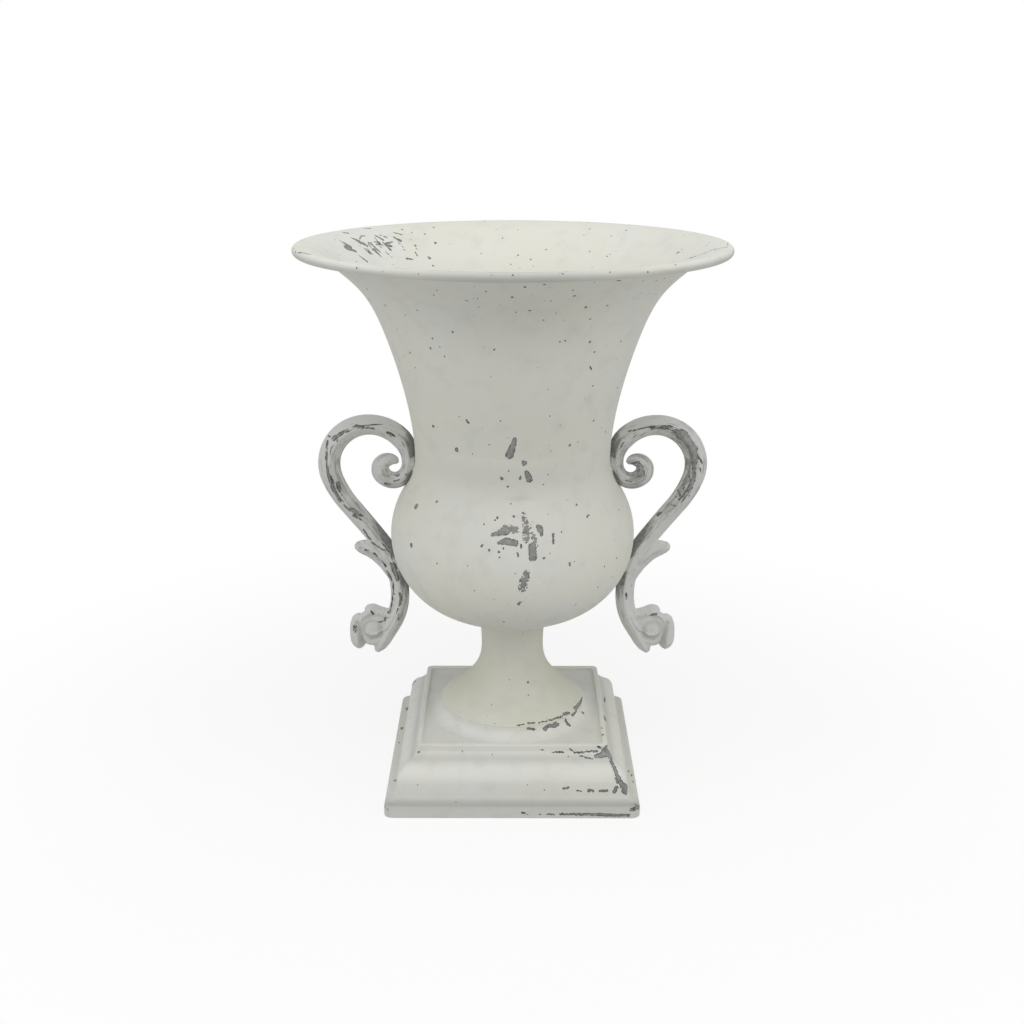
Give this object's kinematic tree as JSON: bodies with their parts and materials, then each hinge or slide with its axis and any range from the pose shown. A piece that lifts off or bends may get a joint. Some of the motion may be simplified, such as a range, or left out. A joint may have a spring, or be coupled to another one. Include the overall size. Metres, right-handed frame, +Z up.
{
  "type": "urn vase",
  "caption": "Footed metal urn vase with a flared trumpet neck, round bowl, bell stem, square stepped plinth and a pair of cast scroll handles, for holding flowers.",
  "frame": {"origin": "centre of the plinth's underside, on the vase's axis", "axes": "+Z up the axis to the mouth, X through the two handles, -Y towards the viewer of the picture"},
  "size_m": [0.229, 0.229, 0.3],
  "materials": {
    "painted_shell": "matte off-white paint, distressed",
    "painted_casting": "matte off-white paint rubbed back to grey metal",
    "plain_steel": "plain",
    "black_rubber": "matte"
  },
  "bodies": {
    "root": {"neck_trumpet": "painted_shell", "bowl": "painted_shell", "stem_foot": "painted_shell", "plinth": "painted_shell", "handle_right": "painted_casting", "handle_left": "painted_casting", "handle_screws": "plain_steel", "handle_washers": "plain_steel", "sealing_washer": "black_rubber", "tie_washer": "plain_steel", "tie_bolt": "plain_steel", "base_washer": "plain_steel", "tie_nut": "plain_steel"}
  },
  "joints": []
}
